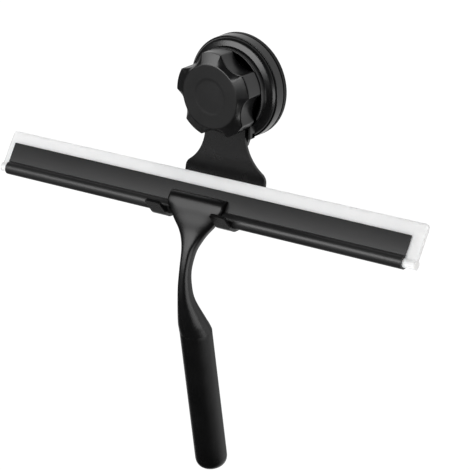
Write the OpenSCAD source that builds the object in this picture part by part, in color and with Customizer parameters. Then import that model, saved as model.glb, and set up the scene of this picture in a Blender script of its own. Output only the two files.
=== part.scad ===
// Window squeegee hanging on a twist-lock suction hook.
//
// Frame: the origin is the centre of the suction pad's wall face, +X runs along
// the blade, -Y points out of the wall towards the user and +Z is up.

/* [Suction cup] */
// Radius of the rubber pad
pad_r = 31.9; // [31:0.1:33]
// Thickness of the pad at its rim
pad_t = 2.8; // [2.4:0.1:3]
// Radius of the pressure housing at its rolled band
housing_r = 31.8; // [31:0.1:33]
// Height of the band's front edge above the wall
band_h = 9.95; // [9.7:0.05:10.4]
// Radius of the dome where it meets the groove
dome_r = 30.1; // [29.9:0.05:30.3]
// Height of the dome's crest above the wall
dome_h = 13.45; // [13:0.05:13.9]
// Radius of the dome's round shoulder
dome_round = 2.4; // [2:0.1:2.6]
// Outer radius of the collar round the knob's foot
collar_r = 26.2; // [25.8:0.1:27]
// Thickness of the collar's wall
collar_t = 1.1; // [0.8:0.1:1.4]
// Height of the collar's lip above the wall
collar_h = 17.9; // [17.6:0.1:18]

/* [Knob] */
// Radius over the knob's lobes
knob_r = 26.1; // [24:0.1:27]
// Radius at the bottom of a finger valley
valley_r = 21.2; // [20:0.1:22]
// Number of lobes
lobe_count = 5; // [4:1:6]
// Direction of the first valley, from +X towards +Z
valley_turn = 57; // [0:1:71]
// Half of the angle that a valley takes at the rim
valley_half = 20.5; // [17:0.5:24]
// Rounding of a lobe's corners
lobe_round = 1.2; // [0.6:0.1:2]
// Height of the knob's rear edge above the wall
knob_back = 18.3; // [18.2:0.1:18.5]
// Height of the seam between body and cap
cap_seam = 30.8; // [29.8:0.1:31.8]
// Height of the cap's flat front
cap_front = 34; // [33:0.1:36]
// Radius of the cap's flat front
cap_disc_r = 19.7; // [18:0.1:20.5]

/* [Threaded stud] */
// Nominal radius of the thread
stud_r = 3; // [2.5:0.5:3]
// Radius of the flange moulded into the pad
flange_r = 8; // [6:0.5:9]
// Height of the stud's tip above the wall
stud_tip = 28; // [26.5:0.5:28.5]

/* [Hanger bracket] */
// Sheet thickness
sheet_t = 1.8; // [1.6:0.1:2.2]
// Height of the plate's front face above the wall
plate_front = 17.5; // [17.3:0.1:17.6]
// Width of the waist between the head and the foot
waist_w = 29.4; // [28:0.2:31]
// Radius of the plate's hollow flanks
waist_r = 26.7; // [24:0.1:28]
// Width of the plate where it joins its head
neck_w = 36; // [34:0.2:37]
// Radius of the round head behind the knob
head_r = 21; // [20.5:0.1:22]
// Width over both hook arms
foot_w = 58.8; // [56:0.2:64]
// Width of the gap between the hook arms
arm_gap = 36.4; // [34:0.2:38]
// Inside radius of the big bend into the hooks
bend_r = 22.35; // [22.35:0.05:22.8]
// Inside radius of the cradle that holds the channel
cradle_r = 5; // [4.8:0.05:5.4]
// Length of the straight lip in front of the cradle
lip_len = 11.4; // [8:0.2:14]
// Lean of the lip away from the vertical
lip_lean = 39.3; // [35:0.1:42]

/* [Blade channel] */
// Length of the metal channel
channel_len = 292; // [200:1:400]
// Radius of the rolled bead
bead_r = 4; // [3.8:0.05:4]
// Lean of the channel's face away from the vertical
face_lean = 33.2; // [30:0.1:36]
// Height of the flat face above the groove
face_h = 12.8; // [10:0.1:14]
// Sheet thickness of the channel
channel_t = 1.2; // [1:0.1:1.3]
// Width of the slot that grips the blade's web
slot_w = 2; // [1.6:0.1:2.2]

/* [Silicone blade] */
// Length of the blade
blade_len = 305; // [294:1:420]
// Overhang of the blade at its left end
blade_left = 4.6; // [1:0.1:10]
// Height of the blade beyond the channel
blade_h = 7.4; // [5:0.1:9]

/* [Handle] */
// Radius of the grip
grip_r = 9.9; // [9.5:0.1:10.5]
// Length of the grip's straight part
grip_len = 87.4; // [70:0.2:140]
// Lean of the grip, its foot towards the wall
grip_lean = 9.8; // [5:0.1:14]
// Length of the rounded end
end_len = 8.4; // [6:0.1:10]

/* [Hidden] */
$fn = 96;
run = 0.05;
big = 200;

// The channel's lowest line hangs this far in front of the wall and below the cup.
hang_y = 48.4;
hang_z = 72.4;

// Suction cup, as heights above the wall.
pocket_r = 7;
pocket_h = 0.8;
boss_r = 11;
boss_h = 6.4;
flange_low = 2.8;
flange_t = 1.6;
foot_in = 26.6;
foot_out = 30.6;
seam_h = 3.4;
roll_r = 0.7;
floor_low = 6.9;
floor_h = 8.9;
post_r = 8;
clear_r = stud_r + 0.2;
plate_back = plate_front - sheet_t;
notch_w = 42.2;
guide_w = 37.2;
guide_t = 1.3;
guide_h = 17.3;
guide_back = 12.9;
guide_in = -16;
guide_out = -27.5;
tongue_w = 32.4;
tongue_tip_w = 28;
tongue_tip = -33.4;

// Knob.
washer_r = 9;
washer_t = 1;
knob_wall = 2;
hub_r = 8.6;
hub_h = 26.2;
nut_flats = 10;
nut_low = 21.2;
nut_t = 5;
cap_lip_r = 17;
rim_cos = knob_r * cos(valley_half);
valley_d = (knob_r * knob_r - valley_r * valley_r) / (2 * (rim_cos - valley_r));
valley_cut = valley_d - valley_r;

// Channel: u runs up the face from the groove, d runs out of the face.
groove = [1.5, 7.7];
up = [sin(face_lean), cos(face_lean)];
out = [-cos(face_lean), sin(face_lean)];
bead = [-3.24, -2.36];
back_d = -2 * channel_t - slot_w;
function on_face(u, d) = groove + u * up + d * out;

// Bracket, in the side view that has its origin on the channel's lowest line.
plate_y = hang_y - plate_front;
bend_c = [plate_y - bend_r, 22];
shelf_z = bend_c[1] - bend_r;
cradle_c = [1.7, shelf_z + cradle_r];
lip_dir = [-sin(lip_lean), cos(lip_lean)];
lip_foot = cradle_c - cradle_r * [cos(lip_lean), sin(lip_lean)];
lip_round = 2;
gap_top = 12 - hang_z;
gap_round = 6;
foot_round = 6.5;
flare = 54;
waist_z = 47 - hang_z;
hook_x = -1;

// Handle.
shoulder = [-0.3, -71];
pin_r = 2;
pin_h = 2.6;
pin_x = 11;
tie_r = 3;
tie_up = 9;
tie_down = 12;
tube_t = 1.4;
plug_len = 16;
spigot_len = 9;

// Draws along the suction axis, with local z as the height above the wall.
module off_wall() {
    rotate([90, 0, 0]) children();
}

// Moves a side view to the hanging line and extrudes it, centred on x = at.
module slab(width, at = 0) {
    translate([at - width / 2, -hang_y, -hang_z]) rotate([90, 0, 90]) linear_extrude(width) children();
}

// Lays local x along the channel, local y up its face and local z out of it.
module on_channel(u = 0, d = 0) {
    p = on_face(u, d);
    translate([0, p[0] - hang_y, p[1] - hang_z]) rotate([90 - face_lean, 0, 0]) children();
}

// Lays local z down the grip's axis, from the shoulder.
module down_grip() {
    translate([0, shoulder[0] - hang_y, shoulder[1] - hang_z]) rotate([180 + grip_lean, 0, 0]) children();
}

// Points of an arc about c.
function arc(c, r, from, to, n) =
    [for (i = [0:n]) let (a = from + (to - from) * i / n) c + r * [cos(a), sin(a)]];

// Outline with round lobes: r over the lobes, valleys of radius v, corners of radius c.
function lobes(r, v, c) =
    let (rc = r - c, rv = v + c, pitch = 360 / lobe_count,
         corner = acos((rc * rc + valley_d * valley_d - rv * rv) / (2 * rc * valley_d)),
         side = acos((valley_d * valley_d + rv * rv - rc * rc) / (2 * valley_d * rv)))
    [for (k = [0:lobe_count - 1])
        let (a = valley_turn + k * pitch, b = a + pitch,
             first = rc * [cos(a + corner), sin(a + corner)],
             last = rc * [cos(b - corner), sin(b - corner)])
        for (p = concat(arc(first, c, a - side, a + corner, 4),
                        arc([0, 0], r, a + corner + 2, b - corner - 2, 7),
                        arc(last, c, b - corner, b + side, 4),
                        arc(valley_d * [cos(b), sin(b)], v, b + 177 + side, b + 183 - side, 8))) p];

// Smooth curve through p1 and p2, between their neighbours.
function blend(p0, p1, p2, p3, t) =
    0.5 * (2 * p1 + (p2 - p0) * t + (2 * p0 - 5 * p1 + 4 * p2 - p3) * t * t
           + (3 * p1 - p0 - 3 * p2 + p3) * t * t * t);
function through(list, steps) = let (last = len(list) - 1)
    [for (i = [0:last - 1]) for (s = [0:steps - 1])
        blend(list[max(i - 1, 0)], list[i], list[i + 1], list[min(i + 2, last)], s / steps),
     list[last]];

// Side of a superellipse at angle a, from -1 to 1.
function bulge(value, power) = sign(value) * pow(abs(value), 2 / power);

// Solid through rings of points, each seen turning left from its far end.
module loft(rings) {
    n = len(rings[0]);
    m = len(rings) - 1;
    polyhedron(
        points = [for (ring = rings) each ring],
        faces = concat([[for (i = [0:n - 1]) i]], [[for (i = [0:n - 1]) m * n + n - 1 - i]],
                       [for (j = [0:m - 1]) for (i = [0:n - 1])
                        let (a = j * n + i, b = j * n + (i + 1) % n)
                        each [[a, a + n, b + n], [a, b + n, b]]]));
}

module suction_pad() color([0.10, 0.10, 0.11]) off_wall() rotate_extrude() difference() {
    polygon([[0, pocket_h], [pocket_r, pocket_h], [pocket_r + 2, 0], [pad_r - 0.3, 0], [pad_r, 0.4],
             [pad_r, pad_t - 0.3], [pad_r - 0.3, pad_t], [boss_r + 5, pad_t], [boss_r, pad_t + 1.4],
             [boss_r, boss_h], [0, boss_h]]);
    translate([0, flange_low - run]) square([flange_r + run, flange_t + 2 * run]);
    translate([0, flange_low]) square([stud_r + run, boss_h]);
}

module threaded_stud() color([0.75, 0.75, 0.77]) off_wall() {
    translate([0, 0, flange_low]) cylinder(r = flange_r, h = flange_t);
    translate([0, 0, flange_low]) cylinder(r = stud_r, h = stud_tip - 0.6 - flange_low);
    translate([0, 0, stud_tip - 0.6]) cylinder(r1 = stud_r, r2 = stud_r - 0.6, h = 0.6);
}

// Half section of the pressure housing, as radius and height above the wall.
module housing_section() {
    roll_c = [housing_r - roll_r, band_h - roll_r];
    dome_c = [dome_r - dome_round, dome_h - dome_round];
    translate(roll_c) circle(roll_r);
    translate(dome_c) circle(dome_round);
    polygon([[foot_in, pad_t], [foot_out, pad_t], [foot_out, seam_h], [housing_r - 0.5, seam_h],
             [housing_r, seam_h + 0.5], [housing_r, roll_c[1]], [foot_in, roll_c[1]]]);
    translate([foot_in - 4, floor_low]) square([dome_r - foot_in + 4, dome_c[1] - floor_low]);
    translate([collar_r - collar_t, floor_low]) square([collar_t, collar_h - collar_t / 2 - floor_low]);
    translate([collar_r - collar_t, floor_low]) square([dome_c[0] - collar_r + collar_t, dome_c[1] + 1.6 - floor_low]);
    translate([collar_r - collar_t / 2, collar_h - collar_t / 2]) circle(collar_t / 2);
    translate([clear_r, floor_low]) square([foot_in - clear_r, floor_h - floor_low]);
    translate([clear_r, floor_low]) square([post_r - clear_r, plate_back - floor_low]);
}

// Walls along both flanks of the plate, joined behind it by a web that ends in a tongue.
module plate_guide() {
    web = 2 - collar_r;
    translate([0, 0, guide_back]) linear_extrude(plate_back - 0.3 - guide_back) {
        translate([-guide_w / 2, guide_out]) square([guide_w, web - guide_out]);
        polygon([[-tongue_w / 2, guide_out + 1], [-tongue_tip_w / 2, tongue_tip],
                 [tongue_tip_w / 2, tongue_tip], [tongue_w / 2, guide_out + 1]]);
    }
    for (x = [-guide_w / 2, guide_w / 2 - guide_t]) {
        translate([x, web, floor_h - 0.5]) cube([guide_t, guide_in - web, guide_h - floor_h + 0.5]);
        translate([x, guide_out, guide_back]) cube([guide_t, web + 1 - guide_out, guide_h - guide_back]);
    }
}

module pressure_housing() color([0.13, 0.13, 0.14]) {
    off_wall() difference() {
        rotate_extrude() housing_section();
        translate([-notch_w / 2, -2 * collar_r, plate_back - 0.3]) cube([notch_w, 2 * collar_r, 10]);
    }
    off_wall() translate([hook_x, 0]) plate_guide();
    off_wall() for (a = [0:60:300]) rotate(a)
        translate([boss_r + 1.5, -0.7, pad_t + 1]) cube([foot_in - boss_r - 1, 1.4, floor_low - pad_t - 1]);
}

// The bracket seen from the front and centred on the hooks, with its head round the stud.
module bracket_front() {
    turn = [waist_w / 2 + waist_r, waist_z];
    rise = acos((turn[0] - neck_w / 2) / waist_r);
    flank = arc(turn, waist_r, 180 - rise, 180 + flare, 20);
    facing = [cos(flare), sin(flare)];
    corner_x = foot_w / 2 - foot_round;
    corner_z = (facing * flank[20] - foot_round - facing[0] * corner_x) / facing[1];
    edge = concat(flank, arc([corner_x, corner_z], foot_round, flare, 0, 7), [[foot_w / 2, -big]]);
    head = arc([-hook_x, 0], head_r, 180 + acos((neck_w / 2 - hook_x) / head_r),
               -acos((neck_w / 2 + hook_x) / head_r), 40);
    polygon(concat(edge, [for (i = [len(edge) - 1:-1:0]) [-edge[i][0], edge[i][1]]], head));
}

// The gap between the hook arms, seen from the front.
module arm_opening() {
    for (s = [-1, 1]) translate([s * (arm_gap / 2 - gap_round), gap_top - gap_round]) circle(gap_round);
    translate([-arm_gap / 2, gap_top - gap_round - big]) square([arm_gap, big]);
    translate([gap_round - arm_gap / 2, gap_top - big]) square([arm_gap - 2 * gap_round, big]);
}

// One face of the bent sheet seen from the side, off = 0 for the inner and sheet_t for the outer.
function sheet_face(off) = concat(
    [[plate_y + off, hang_z + head_r]], arc(bend_c, bend_r + off, 0, -90, 24),
    arc(cradle_c, cradle_r + off, 270, 180 + lip_lean, 8),
    [lip_foot - off * [cos(lip_lean), sin(lip_lean)] + lip_len * lip_dir]);

module bracket_side() {
    polygon(concat(sheet_face(0), [for (i = [34:-1:0]) sheet_face(sheet_t)[i]]));
}

// What is cut from a lip's top corner, drawn up its length from the corner.
module lip_corner() {
    difference() {
        translate([-1, -lip_round]) square([lip_round + 1, lip_round + 1]);
        translate([lip_round, -lip_round]) circle(lip_round);
    }
}

module hanger_bracket() color([0.15, 0.15, 0.16]) {
    difference() {
        intersection() {
            slab(foot_w, hook_x) bracket_side();
            rotate([90, 0, 0]) translate([hook_x, 0, -big]) linear_extrude(2 * big) difference() {
                bracket_front();
                arm_opening();
            }
        }
        off_wall() cylinder(r = clear_r, h = plate_front + 5);
        slab(arm_gap, hook_x) translate([-big, -big]) square([big + cradle_c[0], 2 * big]);
        for (x = [-foot_w / 2, -arm_gap / 2, arm_gap / 2, foot_w / 2])
            translate([x + hook_x, lip_foot[0] - hang_y, lip_foot[1] - hang_z]) rotate([90 + lip_lean, 0, 0])
                translate([0, lip_len, -2 * sheet_t]) linear_extrude(4 * sheet_t)
                    mirror([x == foot_w / 2 || x == -arm_gap / 2 ? 1 : 0, 0]) lip_corner();
    }
}

module thrust_washer() color([0.82, 0.82, 0.84]) off_wall() difference() {
    translate([0, 0, plate_front]) cylinder(r = washer_r, h = washer_t);
    cylinder(r = clear_r, h = 2 * plate_front);
}

module knob_body() color([0.12, 0.12, 0.13]) off_wall() {
    floor_top = knob_back + knob_wall;
    difference() {
        translate([0, 0, knob_back]) linear_extrude(cap_seam - knob_back)
            polygon(lobes(knob_r, valley_cut, lobe_round));
        translate([0, 0, floor_top]) linear_extrude(cap_seam)
            polygon(lobes(knob_r - knob_wall, valley_cut + knob_wall, lobe_round / 2));
        cylinder(r = washer_r + 0.4, h = plate_front + washer_t + run);
        cylinder(r = clear_r, h = cap_seam);
    }
    difference() {
        translate([0, 0, floor_top - 0.5]) union() {
            cylinder(r = hub_r, h = hub_h - floor_top + 0.5);
            for (k = [0:lobe_count - 1]) rotate(valley_turn + k * 360 / lobe_count)
                translate([hub_r - 1, -0.8, 0]) cube([valley_r - knob_wall - hub_r + 1.2, 1.6, 6]);
        }
        cylinder(r = clear_r, h = cap_seam);
        translate([0, 0, nut_low]) cylinder(r = nut_flats / 2 / cos(30), h = cap_seam, $fn = 6);
    }
}

module knob_nut() color([0.70, 0.70, 0.72]) off_wall() difference() {
    translate([0, 0, nut_low]) cylinder(r = nut_flats / 2 / cos(30), h = nut_t, $fn = 6);
    cylinder(r = stud_r + run, h = cap_seam);
}

module knob_cap() color([0.14, 0.14, 0.15]) off_wall() {
    rim = lobes(knob_r, valley_cut, lobe_round);
    low = cap_seam + run;
    difference() {
        loft([for (step = [[0, 0], [0.93, 0.95], [1, 1]])
              [for (p = rim) let (q = p + step[0] * (cap_disc_r / norm(p) - 1) * p)
               [q[0], q[1], low + step[1] * (cap_front - low)]]]);
        cylinder(r = cap_lip_r, h = low + 1.4);
        translate([0, 0, cap_front - 0.25]) cylinder(r1 = 9.5, r2 = 11.5, h = 0.5);
    }
    translate([0, 0, cap_seam - 2]) difference() {
        cylinder(r = cap_lip_r + 1.2, h = 2.4);
        cylinder(r = cap_lip_r, h = 4);
    }
}

// The channel seen from its right end, with u up the face and -d towards the wall.
module channel_section() {
    difference() {
        union() {
            translate(bead) circle(bead_r);
            for (d = [-channel_t / 2, back_d + channel_t / 2]) translate([0, d]) {
                translate([bead[0], -channel_t / 2]) square([face_h - bead[0] - channel_t / 2, channel_t]);
                translate([face_h - channel_t / 2, 0]) circle(channel_t / 2);
            }
        }
        translate(bead) circle(bead_r - channel_t);
        translate([bead[0], back_d + channel_t]) square([2 * face_h, slot_w]);
    }
}

// Extrudes a section given as (u, d) along the channel.
module along(length, at = 0) {
    on_channel() translate([at - length / 2, 0, 0]) rotate([90, 0, 90]) linear_extrude(length) children();
}

module blade_channel() color([0.22, 0.22, 0.23]) along(channel_len) channel_section();

module silicone_blade() color([0.95, 0.95, 0.94]) {
    web = slot_w - 2 * run;
    mid = back_d / 2;
    at = blade_len / 2 - channel_len / 2 - blade_left;
    intersection() {
        along(blade_len, at) {
            translate(bead) circle(bead_r - channel_t - run);
            translate([bead[0], mid - web / 2]) square([face_h + blade_h - bead[0], web]);
        }
        on_channel(0, -bead_r - 10) translate([at, 0, 0]) linear_extrude(bead_r + 30) {
            r = 2.5;
            top = face_h + blade_h;
            translate([-blade_len / 2, -big]) square([blade_len, big + top - r]);
            translate([r - blade_len / 2, 0]) square([blade_len - 2 * r, top]);
            for (s = [-1, 1]) translate([s * (blade_len / 2 - r), top - r]) circle(r);
        }
    }
}

module head_pins() color([0.70, 0.70, 0.72]) for (s = [-1, 1])
    on_channel(3.5) translate([s * pin_x, 0, 0]) cylinder(r = pin_r, h = pin_h);

// Sections of the head and neck, from the shoulder up: the centre's distance in front of the
// hanging line and its height, half width, half depth, lean and squareness.
neck_low = [
    [shoulder[0], shoulder[1], grip_r, grip_r, grip_lean, 2],
    [-2.2, -67.4, 8.8, 9.5, 9, 2],
    [-4.8, -62.4, 7.8, 8, 8, 2.1],
    [-9.5, -48.7, 5, 5.5, 4, 2.3],
    [-11, -38.5, 3.8, 4.3, 0, 2.5],
    [-10.2, -28.5, 3.3, 3.9, -8, 2.6],
    [-6.9, -18.2, 4.2, 4.3, -15, 2.7],
    [-4.1, -11.9, 6.7, 4.5, -17, 2.8],
    [-2.3, -7, 9.8, 4.5, -16, 3],
    [-1.1, -2, 14, 4.3, -16, 3.4],
    [-0.9, 2.4, 16.9, 3.7, -22, 4.2]];
function head_row(u, d, a, b, n) = let (p = on_face(u, d)) [p[0], p[1], a, b, -face_lean, n];
neck_high = [
    head_row(-2.6, 1.3, 19.2, 2.6, 6),
    head_row(0.5, 1.5, 19.9, 2.4, 8),
    head_row(4.6, 1.5, 20, 2.4, 8),
    head_row(6.0, 1.1, 20, 2.2, 7),
    head_row(6.7, 0.5, 19.9, 1.6, 6),
    head_row(7.1, -0.2, 19.6, 0.8, 6)];

module handle_neck() color([0.15, 0.15, 0.16]) difference() {
    loft([for (s = through(concat(neck_low, neck_high), 3))
          [for (k = [0:47]) let (c = bulge(cos(k * 7.5), s[5]), d = bulge(sin(k * 7.5), s[5]))
           [s[2] * c, s[0] + s[3] * d * cos(s[4]) - hang_y, s[1] + s[3] * d * sin(s[4]) - hang_z]]]);
    along(3 * head_r) {
        translate(bead) circle(bead_r);
        translate([-4.5, -20]) square([20, 20]);
    }
    for (s = [-1, 1]) on_channel(3.5) translate([s * pin_x, 0, -1]) cylinder(r = pin_r, h = pin_h + 1);
    down_grip() translate([0, 0, -tie_up]) cylinder(r = tie_r, h = 2 * tie_up);
}

module joining_stud() color([0.70, 0.70, 0.72]) down_grip()
    translate([0, 0, -tie_up]) cylinder(r = tie_r, h = tie_up + tie_down);

module grip_tube() color([0.08, 0.08, 0.09]) down_grip() difference() {
    cylinder(r = grip_r, h = grip_len);
    translate([0, 0, -1]) cylinder(r = tie_r, h = tie_down + 1);
    translate([0, 0, plug_len]) cylinder(r = grip_r - tube_t, h = grip_len);
}

module grip_end_cap() color([0.10, 0.10, 0.11]) down_grip() translate([0, 0, grip_len]) {
    rotate_extrude() polygon(concat([[0, 0]],
        [for (i = [0:12]) [grip_r * bulge(cos(i * 7.5), 2.6), end_len * bulge(sin(i * 7.5), 2.6)]]));
    translate([0, 0, -spigot_len]) cylinder(r = grip_r - tube_t, h = spigot_len);
}

suction_pad();
threaded_stud();
pressure_housing();
hanger_bracket();
thrust_washer();
knob_body();
knob_nut();
knob_cap();
blade_channel();
silicone_blade();
head_pins();
handle_neck();
joining_stud();
grip_tube();
grip_end_cap();
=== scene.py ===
import math

import bmesh
import bpy
import numpy as np
from mathutils import Matrix, Vector


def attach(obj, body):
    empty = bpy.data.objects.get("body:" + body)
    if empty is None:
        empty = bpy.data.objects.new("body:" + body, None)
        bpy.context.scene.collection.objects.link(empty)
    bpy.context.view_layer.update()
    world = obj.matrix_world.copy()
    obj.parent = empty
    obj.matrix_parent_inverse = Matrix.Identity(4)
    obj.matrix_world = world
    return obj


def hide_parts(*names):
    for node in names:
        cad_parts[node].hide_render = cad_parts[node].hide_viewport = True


# A window squeegee hanging on a twist-lock suction hook.
# Lengths in the dictionaries are millimetres; meshes are put in as metres.
# The origin is the centre of the suction pad's wall face, +X runs along the blade,
# -Y points out of the wall and +Z is up.

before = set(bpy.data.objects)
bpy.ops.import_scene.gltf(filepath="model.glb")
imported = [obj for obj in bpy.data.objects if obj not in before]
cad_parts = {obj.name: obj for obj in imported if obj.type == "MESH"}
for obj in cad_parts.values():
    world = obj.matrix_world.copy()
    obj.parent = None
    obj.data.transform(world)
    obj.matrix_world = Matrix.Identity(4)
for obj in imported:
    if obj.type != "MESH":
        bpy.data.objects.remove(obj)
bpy.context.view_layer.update()  # refresh after the import

mm = 0.001
mergeDistance, thinnest = 1e-6, 1e-7  # closer points become one, slimmer faces go
straight = 0.999999                   # the cosine past which two sides count as one line
sideShare = 0.49                      # how much of a side the rounding of one corner may use up
pole = 0.001                          # the small radius that closes a turned shape at its axis
hangLine = np.array([-48.4, -72.4])  # y and z of the channel's lowest line


def roundCorners(corners, radii, steps=6, closed=True):
    # every corner becomes an arc that touches both of its sides: the arc's centre lies on the
    # bisector at r / sin(half angle), and its ends lie r / tan(half angle) down the sides
    p = np.asarray(corners, float)
    r = np.broadcast_to(np.asarray(radii, float), (len(p),)).copy()
    if not closed:
        r[0] = r[-1] = 0
    a, b = np.roll(p, 1, 0) - p, np.roll(p, -1, 0) - p
    before, after = np.linalg.norm(a, axis=1), np.linalg.norm(b, axis=1)
    a, b = a / before[:, None], b / after[:, None]
    half = 0.5 * np.arccos(np.clip((a * b).sum(1), -straight, straight))
    r = np.minimum(r, sideShare * np.minimum(before, after) * np.tan(half))
    bisector = a + b
    bisector /= np.maximum(np.linalg.norm(bisector, axis=1), 1e-9)[:, None]
    centre = p + bisector * (r / np.sin(half))[:, None]
    reach = (r / np.tan(half))[:, None]
    first, last = p + a * reach - centre, p + b * reach - centre
    turn = (np.pi - 2 * half)[:, None, None]
    k = np.linspace(0, 1, steps)[None, :, None]
    arc = np.sin((1 - k) * turn) * first[:, None] + np.sin(k * turn) * last[:, None]
    line = (centre[:, None] + arc / np.sin(turn)).reshape(-1, 2)
    step = np.linalg.norm(np.diff(line, axis=0, append=line[:1]), axis=1)
    keep = step > mergeDistance
    if not closed:
        keep[-1] = True
    return line[keep]


def denser(line, longest, closed=True):
    # adds points on the straight stretches so that no step is longer than asked
    p = np.vstack([line, line[:1]]) if closed else line
    step = np.linalg.norm(np.diff(p, axis=0), axis=1)
    count = np.maximum(1, np.ceil(step / longest)).astype(int)
    at = np.repeat(np.arange(len(step)), count)
    since = np.arange(count.sum()) - np.repeat(np.cumsum(count) - count, count)
    part = since / np.repeat(count, count)
    out = p[at] + (p[at + 1] - p[at]) * part[:, None]
    return out if closed else np.vstack([out, p[-1:]])


def gridFaces(rows, cols, closeRows, closeCols):
    # four-sided faces over a grid of points, joined end to end where asked
    i = np.arange(rows if closeRows else rows - 1)
    j = np.arange(cols if closeCols else cols - 1)
    i, j = np.meshgrid(i, j, indexing="ij")
    below, beside = (i + 1) % rows, (j + 1) % cols
    corners = [i * cols + j, below * cols + j, below * cols + beside, i * cols + beside]
    return np.stack(corners, -1).reshape(-1, 4)


def smoothFaces(mesh, sharp):
    mesh.polygons.foreach_set("use_smooth", np.ones(len(mesh.polygons), bool))
    mesh.set_sharp_from_angle(angle=math.radians(sharp))


def makePiece(name, points, faces, body, nodes, sharp=32, solid=True):
    # the arrays go straight into the mesh, then doubles are merged and a closed shell is
    # turned outwards
    mesh = bpy.data.meshes.new(name)
    points = np.asarray(points, np.float32).reshape(-1, 3) * mm
    faces = np.asarray(faces, np.int32)
    mesh.vertices.add(len(points))
    mesh.vertices.foreach_set("co", points.ravel())
    mesh.loops.add(faces.size)
    mesh.loops.foreach_set("vertex_index", faces.ravel())
    mesh.polygons.add(len(faces))
    starts = np.arange(len(faces), dtype=np.int32) * faces.shape[1]
    mesh.polygons.foreach_set("loop_start", starts)
    mesh.update(calc_edges=True)
    bm = bmesh.new()
    bm.from_mesh(mesh)
    bmesh.ops.remove_doubles(bm, verts=bm.verts, dist=mergeDistance)
    bmesh.ops.dissolve_degenerate(bm, edges=bm.edges, dist=thinnest)
    if solid:
        bmesh.ops.recalc_face_normals(bm, faces=bm.faces)
    bm.to_mesh(mesh)
    bm.free()
    smoothFaces(mesh, sharp)
    piece = bpy.data.objects.new(name, mesh)
    bpy.context.scene.collection.objects.link(piece)
    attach(piece, body)
    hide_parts(*nodes)
    return piece


def spun(profile, turns=192):
    # a profile of (radius, height above the wall) turned about the suction axis
    a = np.linspace(0, 2 * np.pi, turns, endpoint=False)
    r, h = profile[:, 0][:, None], profile[:, 1][:, None]
    return np.stack([r * np.cos(a), -h + 0 * a, r * np.sin(a)], -1)


def addBevel(piece, width, segments, angle):
    bevel = piece.modifiers.new("edges", "BEVEL")
    bevel.width = width * mm
    bevel.segments = segments
    bevel.limit_method = "ANGLE"
    bevel.angle_limit = math.radians(angle)
    bevel.harden_normals = True


noiseLook = {"broadDetail": 4, "fineDetail": 3, "fineRough": 0.62, "toneFrom": 0.32, "toneTo": 0.68}


def makeFinish(name, look):
    # two tones blended by a broad noise, a roughness that drifts with it, and a fine bump
    material = bpy.data.materials.new(name)
    material.use_nodes = True
    tree = material.node_tree
    nodes, links = tree.nodes, tree.links
    shader = nodes["Principled BSDF"]
    coordinates = nodes.new("ShaderNodeTexCoord")
    mapping = nodes.new("ShaderNodeMapping")
    mapping.inputs["Scale"].default_value = look.get("stretch", (1, 1, 1))
    links.new(coordinates.outputs["Object"], mapping.inputs["Vector"])

    broad = nodes.new("ShaderNodeTexNoise")
    broad.inputs["Scale"].default_value = look.get("broadScale", 55)
    broad.inputs["Detail"].default_value = noiseLook["broadDetail"]
    links.new(mapping.outputs["Vector"], broad.inputs["Vector"])
    tones = nodes.new("ShaderNodeValToRGB")
    tones.color_ramp.elements[0].position = noiseLook["toneFrom"]
    tones.color_ramp.elements[1].position = noiseLook["toneTo"]
    tones.color_ramp.elements[0].color = (*look["dark"], 1)
    tones.color_ramp.elements[1].color = (*look["light"], 1)
    links.new(broad.outputs["Fac"], tones.inputs["Fac"])
    links.new(tones.outputs["Color"], shader.inputs["Base Color"])

    rough = nodes.new("ShaderNodeMapRange")
    rough.inputs["To Min"].default_value = look["rough"][0]
    rough.inputs["To Max"].default_value = look["rough"][1]
    links.new(broad.outputs["Fac"], rough.inputs["Value"])
    links.new(rough.outputs["Result"], shader.inputs["Roughness"])

    fine = nodes.new("ShaderNodeTexNoise")
    fine.inputs["Scale"].default_value = look.get("fineScale", 2600)
    fine.inputs["Detail"].default_value = noiseLook["fineDetail"]
    fine.inputs["Roughness"].default_value = noiseLook["fineRough"]
    links.new(mapping.outputs["Vector"], fine.inputs["Vector"])
    bump = nodes.new("ShaderNodeBump")
    bump.inputs["Strength"].default_value = look.get("bump", 0.12)
    bump.inputs["Distance"].default_value = look.get("grain", 0.05) * mm
    links.new(fine.outputs["Fac"], bump.inputs["Height"])
    links.new(bump.outputs["Normal"], shader.inputs["Normal"])

    shader.inputs["Metallic"].default_value = look.get("metallic", 0)
    shader.inputs["IOR"].default_value = look.get("ior", 1.5)
    shader.inputs["Specular IOR Level"].default_value = look.get("specular", 0.5)
    shader.inputs["Subsurface Weight"].default_value = look.get("subsurface", 0)
    shader.inputs["Subsurface Radius"].default_value = (1, 0.97, 0.95)
    shader.inputs["Subsurface Scale"].default_value = look.get("subsurfaceDepth", 1) * mm
    shader.inputs["Anisotropic"].default_value = look.get("anisotropic", 0)
    # a glow stands in for light carried along inside a translucent piece
    shader.inputs["Emission Color"].default_value = (1, 1, 1, 1)
    shader.inputs["Emission Strength"].default_value = look.get("glow", 0)
    return material


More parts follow.
